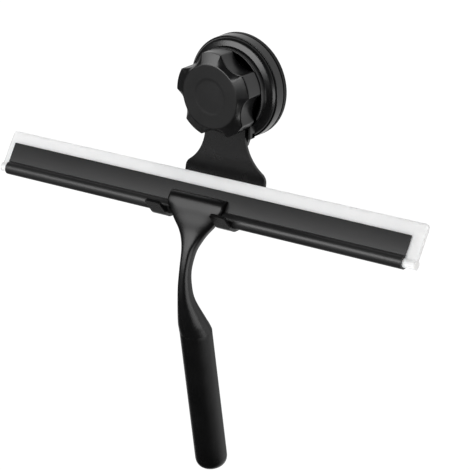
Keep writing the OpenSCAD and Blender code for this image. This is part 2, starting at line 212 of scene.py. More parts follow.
finishLooks = {
    "padRubber": dict(dark=(0.004, 0.004, 0.0042), light=(0.009, 0.009, 0.0093),
                      specular=0.28, rough=(0.46, 0.6), bump=0.25, grain=0.08),
    "housingBlack": dict(dark=(0.003, 0.003, 0.0032), light=(0.006, 0.006, 0.0062),
                         rough=(0.24, 0.32), bump=0.05, fineScale=1500),
    "bracketBlack": dict(dark=(0.003, 0.003, 0.0032), light=(0.006, 0.006, 0.0062),
                         rough=(0.23, 0.31), bump=0.3, fineScale=3200),
    "knobBlack": dict(dark=(0.005, 0.005, 0.0052), light=(0.010, 0.010, 0.0103),
                      rough=(0.24, 0.34), fineScale=2200),
    "capBlack": dict(dark=(0.004, 0.004, 0.0042), light=(0.008, 0.008, 0.0083),
                     rough=(0.28, 0.38), bump=0.2),
    "channelBlack": dict(dark=(0.012, 0.012, 0.0123), light=(0.019, 0.019, 0.0193),
                         rough=(0.34, 0.44), bump=0.16, stretch=(0.25, 1, 1)),
    "neckBlack": dict(dark=(0.002, 0.002, 0.0021), light=(0.004, 0.004, 0.0042),
                      specular=0.36, rough=(0.3, 0.38), bump=0.1),
    "gripBlack": dict(dark=(0.002, 0.002, 0.0021), light=(0.004, 0.004, 0.0042),
                      specular=0.27, rough=(0.3, 0.38), bump=0.1),
    "bladeSilicone": dict(dark=(0.88, 0.88, 0.875), light=(0.92, 0.92, 0.915),
                          rough=(0.42, 0.54), bump=0.06, fineScale=900, subsurface=1,
                          subsurfaceDepth=6, ior=1.41, specular=0.25, glow=0.07),
    "platedSteel": dict(dark=(0.5, 0.5, 0.51), light=(0.62, 0.62, 0.63), metallic=1,
                        rough=(0.2, 0.34), bump=0.08, stretch=(1, 1, 6), anisotropic=0.3),
    "washerNylon": dict(dark=(0.7, 0.69, 0.66), light=(0.78, 0.77, 0.74),
                        rough=(0.45, 0.58), bump=0.15, subsurface=0.2),
}
finishes = {name: makeFinish(name, look) for name, look in finishLooks.items()}


def addPaintedEndShade(material, paintedShade):
    # painted shade: the strip's ends get a darker grey band that stands in for the shade along its end
    # edges; the tone changes where |x - middle| nears half the length
    tree = material.node_tree
    nodes, links = tree.nodes, tree.links
    shader = nodes["Principled BSDF"]
    tone = shader.inputs["Base Color"].links[0].from_socket
    coordinates = nodes.new("ShaderNodeTexCoord")
    along = nodes.new("ShaderNodeSeparateXYZ")
    links.new(coordinates.outputs["Object"], along.inputs["Vector"])
    offset = nodes.new("ShaderNodeMath")
    offset.operation = "SUBTRACT"
    offset.inputs[1].default_value = paintedShade["middle"] * mm
    links.new(along.outputs["X"], offset.inputs[0])
    distance = nodes.new("ShaderNodeMath")
    distance.operation = "ABSOLUTE"
    links.new(offset.outputs["Value"], distance.inputs[0])
    band = nodes.new("ShaderNodeMapRange")
    band.interpolation_type = "SMOOTHSTEP"
    band.inputs["From Min"].default_value = (paintedShade["half"] - paintedShade["width"]) * mm
    band.inputs["From Max"].default_value = paintedShade["half"] * mm
    links.new(distance.outputs["Value"], band.inputs["Value"])
    blend = nodes.new("ShaderNodeMix")
    blend.data_type = "RGBA"
    blend.inputs["B"].default_value = (*paintedShade["tone"], 1)
    links.new(band.outputs["Result"], blend.inputs["Factor"])
    links.new(tone, blend.inputs["A"])
    links.new(blend.outputs["Result"], shader.inputs["Base Color"])


# painted shade at the blade's ends: a grey band along both end edges of the white silicone
paintedEndShade = {"middle": 1.9, "half": 152.5, "width": 1.1, "tone": (0.68, 0.68, 0.675)}  # along +X
addPaintedEndShade(finishes["bladeSilicone"], paintedEndShade)
print("finishes made:", len(finishes))


def dress(piece, finish):
    piece.data.materials.clear()
    piece.data.materials.append(finishes[finish])


padSize = {
    "radius": 31.9, "thickness": 2.8, "edge": 0.4,
    "pocketRadius": 7, "pocketDepth": 0.8, "pocketSlope": 2,  # the shallow hollow in the wall face
    "wallEdge": (0.25, 0.35), "bossRadius": 11, "bossHeight": 6.4, "bossFoot": (5, 1.4),
}


def makeRubberPad(size):
    # closed profile from the pocket out to the rim, up and back over the boss
    p = size
    inset, rise = p["wallEdge"]
    wide, high = p["bossFoot"]
    profile = roundCorners(
        [[0, p["pocketDepth"]], [p["pocketRadius"], p["pocketDepth"]],
         [p["pocketRadius"] + p["pocketSlope"], 0], [p["radius"] - inset, 0],
         [p["radius"], rise], [p["radius"], p["thickness"]],
         [p["bossRadius"] + wide, p["thickness"]], [p["bossRadius"], p["thickness"] + high],
         [p["bossRadius"], p["bossHeight"]], [0, p["bossHeight"]]],
        [0, 0.5, 0.5, 0.15, 0.15, p["edge"], 1, 0.6, 0.5, 0], steps=6, closed=False)
    profile = denser(profile, longest=3, closed=False)
    rings = spun(profile)
    return makePiece("rubberPad", rings, gridFaces(len(profile), rings.shape[1], False, True),
                     "wall_holder", ["suction_pad"])


rubberPad = makeRubberPad(padSize)
dress(rubberPad, "padRubber")

housingSize = {
    "radius": 31.8, "footInner": 26.6, "footOuter": 30.6, "footHeight": 2.8,
    "seamHeight": 3.4, "bandHeight": 9.95,
    "domeCentre": (28.0, 9.9), "domeRadius": 2.85, "domeStart": 96, "domeSlope": 21,
    "grooveStep": 0.05, "domeInner": 13.6, "collarDraft": 0.05,
    "collarRadius": 26.2, "collarWall": 1.1, "collarHeight": 17.9,
    "floorLow": 6.9, "floorHigh": 8.9, "postRadius": 8, "postHeight": 15.7, "bore": 3.2,
    "notchHalf": 21.1, "notchHeight": 15.4, "notchRound": 1.2, "notchSpread": 0.06,
}
guideSize = {
    "centre": -1, "half": 18.6, "wall": 1.3, "front": 17.3, "back": 12.9, "webFront": 15.4,
    "inside": -16, "collarFoot": -24.2, "end": -27.5,
    "tongueHalf": 16.2, "tongueTipHalf": 14, "tongueTip": -33.4, "edge": 0.25,
}


def makePressureHousing(size):
    # one closed profile turned about the axis; in the notch that lets the bracket out the
    # collar's height is the smaller of its own height and a step that falls off over notchRound
    s = size
    turn = np.radians(np.linspace(s["domeStart"], s["domeSlope"], 30))
    dome = np.array(s["domeCentre"]) + s["domeRadius"] * np.stack([np.sin(turn), np.cos(turn)], -1)
    low = roundCorners(
        [[s["footInner"], s["footHeight"]], [s["footOuter"], s["footHeight"]],
         [s["footOuter"], s["seamHeight"]],
         [s["radius"], s["seamHeight"]], [s["radius"], s["bandHeight"]],
         dome[0] + [s["grooveStep"], 0]],
        [0.2, 0.1, 0.1, 0.5, 0.45, 0], steps=9, closed=False)
    high = roundCorners(
        [dome[-1], [s["collarRadius"] + s["collarDraft"], s["domeInner"]],
         [s["collarRadius"], s["collarHeight"]],
         [s["collarRadius"] - s["collarWall"], s["collarHeight"]],
         [s["collarRadius"] - s["collarWall"], s["floorHigh"]], [s["postRadius"], s["floorHigh"]],
         [s["postRadius"], s["postHeight"]], [s["bore"], s["postHeight"]],
         [s["bore"], s["floorLow"]], [s["footInner"], s["floorLow"]],
         [s["footInner"], s["footHeight"]]],
        [0, 0.25, 0.5, 0.5, 0.6, 0.6, 0.4, 0.2, 0.2, 0.6, 0], steps=9, closed=False)
    profile = denser(np.vstack([low[1:], dome, high[1:]]), longest=1.6)
    edge = math.asin(s["notchHalf"] / s["collarRadius"])
    near = np.linspace(-s["notchSpread"], s["notchSpread"], 17)
    a = np.unique(np.concatenate([np.linspace(0, 2 * np.pi, 241)[:-1],
                                  1.5 * np.pi - edge + near, 1.5 * np.pi + edge + near]))
    r, h = profile[:, 0][:, None], profile[:, 1][:, None]
    x, z = r * np.cos(a), r * np.sin(a)
    fall = np.clip((np.abs(x) - s["notchHalf"]) / s["notchRound"], 0, 1)
    fall = np.where(z > 0, 1, fall * fall * (3 - 2 * fall))
    top = s["notchHeight"] + (s["collarHeight"] - s["notchHeight"]) * fall
    collar = r > s["postRadius"] + 1
    squeezed = (s["notchHeight"] + (h - s["notchHeight"]) * (top - s["notchHeight"])
                / (s["collarHeight"] - s["notchHeight"]))
    height = np.where(collar & (h > s["notchHeight"]), squeezed, h)
    return makePiece("pressureHousing", np.stack([x, -height, z], -1),
                     gridFaces(len(profile), len(a), True, True), "wall_holder", ["pressure_housing"])


def slabOf(outline, low, high):
    # a closed outline in x and z carried from one height above the wall to another, with both
    # ends closed by rulings to the outline's own middle line
    p = denser(np.asarray(outline, float), longest=1.2)
    middle = np.column_stack([p[:, 0] * 0 + p[:, 0].mean(), p[:, 1]])
    layers = [(middle, low), (p, low), (p, 0.5 * (low + high)), (p, high), (middle, high)]
    return np.stack([np.column_stack([q[:, 0], np.full(len(q), -h), q[:, 1]]) for q, h in layers])


def makePlateGuide(size):
    # two walls beside the plate and the web with its tongue behind it, each a closed shell
    g = size
    c = g["centre"]
    left, right = c - g["half"], c + g["half"]
    web = [[left, g["collarFoot"]], [left, g["end"]], [c - g["tongueHalf"], g["end"]],
           [c - g["tongueTipHalf"], g["tongueTip"]], [c + g["tongueTipHalf"], g["tongueTip"]],
           [c + g["tongueHalf"], g["end"]], [right, g["end"]], [right, g["collarFoot"]]]
    rounded = roundCorners(web, [0.1, 0.4, 0.4, 1.2, 1.2, 0.4, 0.4, 0.1])
    shells = [slabOf(rounded, g["back"], g["webFront"])]
    for near, far in ((left, left + g["wall"]), (right - g["wall"], right)):
        side = [[near, g["end"]], [far, g["end"]], [far, g["inside"]], [near, g["inside"]]]
        shells.append(slabOf(roundCorners(side, 0.3), g["back"], g["front"]))
    points, faces, start = [], [], 0
    for shell in shells:
        points.append(shell.reshape(-1, 3))
        faces.append(gridFaces(shell.shape[0], shell.shape[1], False, True) + start)
        start += shell.shape[0] * shell.shape[1]
    piece = makePiece("plateGuide", np.vstack(points), np.vstack(faces),
                      "wall_holder", ["pressure_housing"], sharp=35)
    addBevel(piece, g["edge"], segments=2, angle=60)
    return piece


pressureHousing = makePressureHousing(housingSize)
dress(pressureHousing, "housingBlack")
plateGuide = makePlateGuide(guideSize)
dress(plateGuide, "housingBlack")
print("suction cup made")

knobSize = {
    "radius": 26.1, "valleyRadius": 21.2, "lobes": 5,
    "firstValley": 57, "valleyHalf": 20.5,   # degrees, from +X towards +Z
    "cornerRound": 1.2, "wall": 2,
    "back": 18.3, "seam": 30.8, "edge": 0.5,
    "hubRadius": 8.6, "hubHeight": 26.2, "washerRadius": 9.4, "recess": 18.55, "bore": 3.2,
    "nutFlats": 10.1, "nutLow": 21.2, "toothInset": 4,
    # towards the seam: how far in from the rim, and how far below the seam
    "sideEnd": 0.65, "seamEdge": [(0.05, 0.55), (0.16, 0.48), (0.7, 0.45)], "wallEnd": 0.35,
    "capFront": 34, "capGap": 0.05, "seamGap": 0.7, "grooveRise": 0.1,
    "capPocket": 17, "pocketDepth": 1.4,
    # above the cap's underside: how far in from the rim, and how high
    "capEdge": [(0.12, 0.25), (0.02, 0.4)], "flatness": 0.985, "shoulder": 0.9,
    "discRadius": 19.7, "discEdge": 0.9, "dishRadius": 10.6, "dishDepth": 0.2,
    # out from the dish's radius, and the share of its depth there
    "dishEdge": [(1.3, 0), (0.7, 0.08), (0, 0.5), (-0.7, 0.92), (-1.4, 1)],
    "flatRings": (17.5, 14.5), "floorRings": (6, 3, pole),
}


def lobeOutline(size, inset=0.0, corner=None):
    # lobes lie on a circle about the axis, valleys on circles that cut it, and a small arc
    # touches both at each corner; an inset moves every arc inwards by the same amount
    k = size
    c = k["cornerRound"] if corner is None else corner
    r = k["radius"] - inset
    rim = k["radius"] * math.cos(math.radians(k["valleyHalf"]))
    away = (k["radius"] ** 2 - k["valleyRadius"] ** 2) / (2 * (rim - k["valleyRadius"]))
    v = away - k["valleyRadius"] + inset
    rc, rv = r - c, v + c
    turned = math.acos((rc * rc + away * away - rv * rv) / (2 * rc * away))
    side = math.acos((away * away + rv * rv - rc * rc) / (2 * away * rv))
    pitch = 2 * np.pi / k["lobes"]

    def arc(centre, radius, start, end, count):
        a = np.linspace(start, end, count)
        return np.asarray(centre) + radius * np.stack([np.cos(a), np.sin(a)], -1)

    first = rc * np.array([np.cos(turned), np.sin(turned)])
    last = rc * np.array([np.cos(pitch - turned), np.sin(pitch - turned)])
    far = away * np.array([np.cos(pitch), np.sin(pitch)])
    lobe = np.vstack([arc(first, c, -side, turned, 9)[:-1],
                      arc([0, 0], r, turned, pitch - turned, 41)[:-1],
                      arc(last, c, pitch - turned, pitch + side, 9)[:-1],
                      arc(far, v, pitch + np.pi + side, pitch + np.pi - side, 33)[:-1]])
    turns = math.radians(k["firstValley"]) + pitch * np.arange(k["lobes"])
    spin = np.stack([np.cos(turns), -np.sin(turns), np.sin(turns), np.cos(turns)], -1).reshape(-1, 2, 2)
    return np.einsum("kij,pj->kpi", spin, lobe).reshape(-1, 2)


def roundRing(outline, radius):
    # the outline's own directions, all at one radius
    return outline / np.linalg.norm(outline, axis=1)[:, None] * radius


def hexRing(outline, flats):
    # the same directions on a hexagon: half the flats over the cosine of the angle to a flat
    a = np.arctan2(outline[:, 1], outline[:, 0])
    return outline / np.linalg.norm(outline, axis=1)[:, None] * (
        flats / 2 / np.cos((a + np.pi / 6) % (np.pi / 3) - np.pi / 6))[:, None]


def stackRings(rings):
    # each entry is an outline and its height above the wall
    return np.stack([np.column_stack([ring[:, 0], np.full(len(ring), -height), ring[:, 1]])
                     for ring, height in rings])


def makeKnobShell(size):
    # rings that pass from the hub's bore over the rear face, up the lobed side, down inside
    # the wall and back over the hub, so the shell is closed like a tube
    k, e = size, size["edge"]
    rim = lobeOutline(k)
    inner = lobeOutline(k, k["wall"], k["cornerRound"] / 2)
    turn = np.linspace(0, np.pi / 2, 6)
    face = k["back"] + k["wall"]
    hexagon = hexRing(rim, k["nutFlats"])
    bore, washer, hub = (roundRing(rim, k[name]) for name in ("bore", "washerRadius", "hubRadius"))
    rings = [(bore, k["recess"]), (washer, k["recess"]), (washer, k["back"]),
             (lobeOutline(k, k["toothInset"]), k["back"])]
    rings += [(lobeOutline(k, e * (1 - math.sin(t))), k["back"] + e * (1 - math.cos(t))) for t in turn]
    rings += [(rim, k["back"] + e + (k["seam"] - k["back"] - e - k["sideEnd"]) * t)
              for t in np.linspace(0.1, 1, 10)]
    rings += [(lobeOutline(k, inset), k["seam"] - below) for inset, below in k["seamEdge"]]
    rings += [(inner, k["seam"] - k["wallEnd"]), (inner, face), (hub, face), (hub, k["hubHeight"]),
              (hexagon, k["hubHeight"]), (hexagon, k["nutLow"]), (bore, k["nutLow"])]
    points = stackRings(rings)
    return makePiece("knobShell", points, gridFaces(*points.shape[:2], True, True),
                     "knob", ["knob_body"], sharp=30)


def makeKnobCap(size):
    # the bevel is ruled from the lobed rim to the round edge of the flat front; a shallow dish
    # is turned in the middle, and the underside is closed flat
    k = size
    low = k["seam"] + k["capGap"]
    rim = lobeOutline(k, k["capEdge"][-1][0])
    disc = roundRing(rim, k["discRadius"])
    pocket = roundRing(rim, k["capPocket"])
    groove = lobeOutline(k, k["seamGap"])
    rings = [(roundRing(rim, pole), low + k["pocketDepth"]), (pocket, low + k["pocketDepth"]),
             (pocket, low), (groove, low), (groove, low + k["grooveRise"])]
    rings += [(lobeOutline(k, inset), low + up) for inset, up in k["capEdge"]]
    foot = low + k["capEdge"][-1][1]
    rise = k["capFront"] - low - k["capEdge"][-1][1]
    for s in np.linspace(0.06, k["shoulder"], 9):
        rings.append((rim + (disc - rim) * s, foot + rise * s * k["flatness"]))
    bevelEnd, bevelTop = rings[-1]
    inner = roundRing(rim, k["discRadius"] - k["discEdge"])
    for s in np.linspace(0.15, 1, 7):  # a quadratic curve from the bevel over the edge to the flat
        ring = bevelEnd * (1 - s) ** 2 + disc * 2 * s * (1 - s) + inner * s * s
        rings.append((ring, bevelTop * (1 - s) ** 2 + k["capFront"] * (2 * s * (1 - s) + s * s)))
    dish = [(radius, 0) for radius in k["flatRings"]]
    dish += [(k["dishRadius"] + out, share) for out, share in k["dishEdge"]]
    dish += [(radius, 1) for radius in k["floorRings"]]
    rings += [(roundRing(rim, radius), k["capFront"] - share * k["dishDepth"])
              for radius, share in dish]
    points = stackRings(rings)
    return makePiece("knobCap", points, gridFaces(*points.shape[:2], False, True),
                     "knob", ["knob_cap"], sharp=40)


knobShell = makeKnobShell(knobSize)
dress(knobShell, "knobBlack")
knobCap = makeKnobCap(knobSize)
dress(knobCap, "capBlack")
print("knob made")

bracketSize = {
    "centre": -1,                            # the hooks stand this far to one side of the stud
    "sheet": 1.8, "plateFront": 17.5, "headRadius": 21, "studHole": 3.2, "neckWidth": 36,
    "waistWidth": 29.4, "waistHeight": -25.4, "waistRound": 26.7, "flare": 54,
    "footWidth": 58.8, "footRound": 6.5, "armGap": 36.4, "gapTop": 12, "gapRound": 6,
    "bendRadius": 22.35, "bendHeight": 22, "cradleRadius": 5, "cradleAt": 1.7,
    "lipLength": 11.4, "lipLean": 39.3, "lipRound": 2, "edge": 0.3,
    # points between the knots down each half, points across it, and two knots on the head
    "down": [22, 30, 60, 46, 110, 12], "across": 19, "headKnot": 10, "neckKnot": 8,
}


def alongLine(line, counts, knots):
    # evenly spaced points along a line, with a point on each of the given knots
    length = np.concatenate([[0], np.cumsum(np.linalg.norm(np.diff(line, axis=0), axis=1))])
    marks = length[knots]
    parts = [np.linspace(marks[i], marks[i + 1], n, endpoint=False) for i, n in enumerate(counts)]
    at = np.concatenate(parts + [marks[-1:]])
    return np.column_stack([np.interp(at, length, line[:, 0]), np.interp(at, length, line[:, 1])])


def makeHookPlate(size):
    # Each half of the flat blank is filled by straight rulings from its inner line, down the
    # middle, round the stud hole and along the gap, to its outer edge. The blank, in x and
    # length, is then carried down the side view's path: flat plate, big bend, shelf, cradle
    # bend, straight lip.
    b = size
    plateY = -hangLine[0] - b["plateFront"]
    bend, lean = b["bendRadius"], math.radians(b["lipLean"])
    flat = -hangLine[1] - b["bendHeight"]            # from the axis down to where the bend starts
    shelf = plateY - bend - b["cradleAt"]
    cradle = b["cradleRadius"]
    lengths = np.cumsum([flat, bend * np.pi / 2, shelf, cradle * (np.pi / 2 - lean), b["lipLength"]])

    def drop(z):  # length down the sheet, from the axis, of a height in the front view
        down = -np.asarray(z, float)
        inBend = np.clip((down - flat) / bend, 0, 1)
        return np.where(down <= flat, down, flat + bend * np.arcsin(inBend))

    turnX, turnZ = b["waistWidth"] / 2 + b["waistRound"], b["waistHeight"]
    rise = math.acos((turnX - b["neckWidth"] / 2) / b["waistRound"])
    flare = math.radians(b["flare"])
    a = np.linspace(np.pi - rise, np.pi + flare, 46)
    waist = np.stack([turnX + b["waistRound"] * np.cos(a), turnZ + b["waistRound"] * np.sin(a)], -1)
    facing = np.array([math.cos(flare), math.sin(flare)])
    cornerX = b["footWidth"] / 2 - b["footRound"]
    cornerZ = (facing @ waist[-1] - b["footRound"] - facing[0] * cornerX) / facing[1]
    a = np.linspace(flare, 0, 16)[1:]
    foot = np.stack([cornerX + b["footRound"] * np.cos(a), cornerZ + b["footRound"] * np.sin(a)], -1)
    end, r = lengths[-1], b["lipRound"]
    a = np.linspace(0, np.pi / 2, 8)
    corner = np.stack([r * np.cos(a) - r, r * np.sin(a) - r], -1)
    half, g = b["armGap"] / 2, b["gapRound"]
    a = np.linspace(np.pi / 2, 0, 12)
    gapTop = -hangLine[1] - b["gapTop"]
    gap = np.column_stack([half - g + g * np.cos(a), drop(-gapTop - g + g * np.sin(a))])

    blanks = []
    for side in (1, -1):
        # the head is a circle about the stud, so its two ends on the neck lie at different heights
        last = -math.acos((b["neckWidth"] / 2 + side * b["centre"]) / b["headRadius"])
        a = np.linspace(np.pi / 2, last, 40)
        head = b["headRadius"] * np.stack([np.cos(a), np.sin(a)], -1)
        edge = np.vstack([waist, foot])
        outer = np.vstack([np.column_stack([side * head[:, 0], drop(head[:, 1])]),
                           np.column_stack([b["centre"] + side * edge[:, 0], drop(edge[:, 1])]),
                           (corner + [b["footWidth"] / 2, end]) * [side, 1] + [b["centre"], 0]])
        a = np.linspace(np.pi / 2, -np.pi / 2, 17)
        hole = b["studHole"] * np.stack([side * np.cos(a), -np.sin(a)], -1)
        arm = np.vstack([gap, [[half, end - r]], corner * [-1, 1] + [half, end]])
        inner = np.vstack([[[0, -b["headRadius"]]], hole, [[b["centre"], drop(-gapTop)]],
                           arm * [side, 1] + [b["centre"], 0]])
        headEnd, footEnd = len(head), len(head) + len(edge) - 1
        outerKnots = [0, b["headKnot"], headEnd - b["neckKnot"], headEnd + len(waist) // 2,
                      footEnd, footEnd + 1, len(outer) - 1]
        gapEnd = len(hole) + len(gap) + 1
        innerKnots = [0, 1, len(hole), len(hole) + 1, gapEnd, gapEnd + 1, len(inner) - 1]
        outerLine = alongLine(outer, b["down"], outerKnots)
        innerLine = alongLine(inner, b["down"], innerKnots)
        across = np.linspace(0, 1, b["across"])[None, :, None]
        blanks.append(innerLine[:, None] * (1 - across) + outerLine[:, None] * across)
    blank = np.stack(blanks)
    x, run = blank[..., 0], blank[..., 1]

    inFlat = np.minimum(run, lengths[0])
    inBend = np.clip(run - lengths[0], 0, bend * np.pi / 2) / bend
    onShelf = np.clip(run - lengths[1], 0, shelf)
    inCradle = np.clip(run - lengths[2], 0, cradle * (np.pi / 2 - lean)) / cradle
    onLip = np.maximum(run - lengths[3], 0)
    # the path's direction turns from straight down, to straight out, to up along the lip
    y = (plateY - bend * (1 - np.cos(inBend)) - onShelf - cradle * np.sin(inCradle)
         - onLip * math.sin(lean))
    z = (-hangLine[1] - inFlat - bend * np.sin(inBend) + cradle * (1 - np.cos(inCradle))
         + onLip * math.cos(lean))
    points = np.stack([x, y + hangLine[0], z + hangLine[1]], -1)
    rows, cols = points.shape[1:3]
    faces = gridFaces(rows, cols, False, False)
    piece = makePiece("hookPlate", points, np.vstack([faces, faces[:, ::-1] + rows * cols]),
                      "wall_holder", ["hanger_bracket"], sharp=40, solid=False)
    wall = piece.modifiers.new("sheet", "SOLIDIFY")
    wall.thickness = b["sheet"] * mm
    wall.offset = -1
    wall.use_even_offset = True
    addBevel(piece, b["edge"], segments=3, angle=60)
    return piece


hookPlate = makeHookPlate(bracketSize)
dress(hookPlate, "bracketBlack")
print("bracket made")

channelSize = {
    "length": 292, "sheet": 1.2, "faceHeight": 12.8, "faceLean": 33.2, "cutEdge": 0.15,
    "grooveAt": (1.5, 7.7),          # out from the hanging line's plane, and up from it
    "beadRadius": 4.0, "beadAt": (-3.24, -2.36), "backDepth": -4.4,
    "grooveLip": (0.6, -0.02), "grooveFoot": (0.25, -0.35), "grooveTurn": 4,
}
bladeSize = {
    "length": 305, "overhang": 4.6, "height": 7.4, "lift": 1.2, "web": 1.9, "cornerRound": 2.5,
    "tip": 0.35, "bulbGap": 0.05, "webFoot": 0.3,
}


def onFace(u, d):
    # u runs up the channel's face from the groove and d out of it; gives y and z
    lean = math.radians(channelSize["faceLean"])
    at = channelSize["grooveAt"]
    y = at[0] + u * math.sin(lean) - d * math.cos(lean)
    z = at[1] + u * math.cos(lean) + d * math.sin(lean)
    return y + hangLine[0], z + hangLine[1]


def arcPoints(centre, radius, start, end, count):
    # angles in degrees
    a = np.radians(np.linspace(start, end, count))
    return np.asarray(centre) + radius * np.stack([np.cos(a), np.sin(a)], -1)


def channelOutline(size):
    # from the front groove round the bead to the back wall, over both tips and down the slot
    c, t = size, size["sheet"]
    centre, r = np.array(c["beadAt"]), c["beadRadius"]
    back, slotBack = c["backDepth"], c["backDepth"] + t
    top = c["faceHeight"] - t / 2
    front = math.degrees(math.asin(-centre[1] / r))
    rear = -math.degrees(math.asin((centre[1] - back) / r))
    inner = r - t
    innerFront = math.degrees(math.asin((-t - centre[1]) / inner))
    innerBack = -math.degrees(math.asin((centre[1] - slotBack) / inner))
    return np.vstack([
        c["grooveLip"], c["grooveFoot"],
        arcPoints(centre, r, front + c["grooveTurn"], 360 + rear, 80),
        arcPoints([top, back + t / 2], t / 2, -90, 90, 9),
        arcPoints(centre, inner, 360 + innerBack, innerFront, 50),
        arcPoints([top, -t / 2], t / 2, -90, 90, 9)])


def closeEnds(piece):
    # fills each open end with one face and turns the shell outwards
    bm = bmesh.new()
    bm.from_mesh(piece.data)
    made = bmesh.ops.contextual_create(bm, geom=[edge for edge in bm.edges if edge.is_boundary])
    bmesh.ops.triangulate(bm, faces=made["faces"], quad_method="BEAUTY", ngon_method="EAR_CLIP")
    bmesh.ops.recalc_face_normals(bm, faces=bm.faces)
    bm.to_mesh(piece.data)
    bm.free()
    smoothFaces(piece.data, sharp=32)


def makeBladeChannel(size):
    outline = channelOutline(size)
    xs = np.linspace(-size["length"] / 2, size["length"] / 2, 74)
    y, z = onFace(outline[:, 0], outline[:, 1])
    points = np.empty((len(xs), len(outline), 3))
    points[..., 0], points[..., 1], points[..., 2] = xs[:, None], y, z
    faces = gridFaces(len(xs), len(outline), False, True)
    piece = makePiece("bladeChannel", points, faces, "squeegee", ["blade_channel"],
                      sharp=28, solid=False)
    closeEnds(piece)
    addBevel(piece, size["cutEdge"], segments=2, angle=70)
    return piece


def makeSiliconeStrip(size):
    # web and bulb in one outline; along the length the top corners are rounded by letting the
    # height follow a quarter circle
    s, c = size, channelSize
    mid, web = c["backDepth"] / 2, s["web"]
    bulb = c["beadRadius"] - c["sheet"] - s["bulbGap"]
    centre = np.array(c["beadAt"])
    upper = math.degrees(math.asin((mid + web / 2 - centre[1]) / bulb))
    lower = math.degrees(math.asin((mid - web / 2 - centre[1]) / bulb))
    top, tip = c["faceHeight"] + s["height"], s["tip"]
    neck = centre[0] + bulb * math.cos(math.radians(upper))
    rise = np.linspace(0, 1, 14)[:, None]
    side = np.array([[neck + s["webFoot"], mid + web / 2], [top - tip, mid + web / 2]])
    upSide = side[0] + (side[1] - side[0]) * rise
    tipArc = arcPoints([top - tip, mid + web / 2 - tip], tip, 90, 0, 5)
    backArc = arcPoints([top - tip, mid - web / 2 + tip], tip, 0, -90, 5)
    downSide = upSide[::-1] - [0, web]
    outline = np.vstack([upSide, tipArc[1:], backArc, downSide[1:],
                         arcPoints(centre, bulb, 360 + lower, upper, 40)])
    r = s["cornerRound"]
    left = -c["length"] / 2 - s["overhang"]
    right = left + s["length"]
    bow = r * (1 - np.cos(np.linspace(0, np.pi / 2, 12)))
    xs = np.concatenate([left + bow, np.linspace(left + r, right - r, 90)[1:-1], right - bow[::-1]])
    out = np.maximum(np.maximum(left + r - xs, xs - (right - r)), 0)
    # the free edge stands a little higher towards the right: lift * way along, spread over the
    # height of the free part
    lift = s["lift"] * (xs - left) / s["length"]
    share = np.clip((outline[:, 0] - c["faceHeight"]) / s["height"], 0, 1)
    limit = top + lift - r + np.sqrt(np.maximum(r * r - out * out, 0))
    u = np.minimum(outline[:, 0] + lift[:, None] * share, limit[:, None])
    d = outline[:, 1][None, :] + 0 * u
    y, z = onFace(u, d)
    points = np.stack([xs[:, None] + 0 * u, y, z], -1)
    piece = makePiece("siliconeStrip", points, gridFaces(*u.shape, False, True),
                      "squeegee", ["silicone_blade"], sharp=50, solid=False)
    closeEnds(piece)
    return piece


bladeChannel = makeBladeChannel(channelSize)
dress(bladeChannel, "channelBlack")
siliconeStrip = makeSiliconeStrip(bladeSize)
dress(siliconeStrip, "bladeSilicone")
print("channel and blade made")

neckSize = {
    # out from the hanging line's plane and up from it, half width, half depth, lean, squareness
    "low": [[-0.3, -71, 9.9, 9.9, 9.8, 2], [-1.95, -67.4, 9.3, 9.6, 9, 2],
            [-4.3, -62.4, 8.3, 8.5, 8, 2.1], [-9.5, -48.7, 5, 5.5, 4, 2.3],
            [-11, -38.5, 3.8, 4.3, 0, 2.5], [-10.2, -28.5, 3.3, 3.9, -8, 2.6],
            [-6.9, -18.2, 4.2, 4.3, -15, 2.7], [-4.1, -11.9, 6.7, 4.5, -17, 2.8],
            [-2.3, -7, 9.8, 4.5, -16, 3], [-1.1, -2, 14, 4.3, -16, 3.4],
            [-0.67, 2.3, 16.9, 3.45, -22, 4.2]],
    # up the channel's face, out of it, half width, half depth, squareness
    "head": [[-2.6, 0.95, 19.2, 2.4, 6], [0.4, 1.5, 19.9, 2.45, 8], [2.6, 1.6, 20, 2.5, 8],
             [4.4, 1.4, 20, 2.3, 8], [5.8, 1.0, 20, 1.85, 7], [6.7, 0.55, 19.9, 1.2, 6],
             [7.1, 0, 19.6, 0.7, 6]],
    "around": 96, "between": 9, "clearance": 0.03,
    # only points in front of these lines, from the bead's centre and from the groove, are moved out
    "beadSide": 1, "faceFrom": -0.5, "nearest": 0.5,
}


def throughRows(rows, steps):
    # Catmull-Rom curve through the rows, the end rows counted twice
    p = np.vstack([rows[:1], rows, rows[-1:]])
    p0, p1, p2, p3 = p[:-3, None], p[1:-2, None], p[2:-1, None], p[3:, None]
    t = np.linspace(0, 1, steps, endpoint=False)[None, :, None]
    out = 0.5 * (2 * p1 + (p2 - p0) * t + (2 * p0 - 5 * p1 + 4 * p2 - p3) * t ** 2
                 + (3 * p1 - p0 - 3 * p2 + p3) * t ** 3)
    return np.vstack([out.reshape(-1, rows.shape[1]), rows[-1:]])


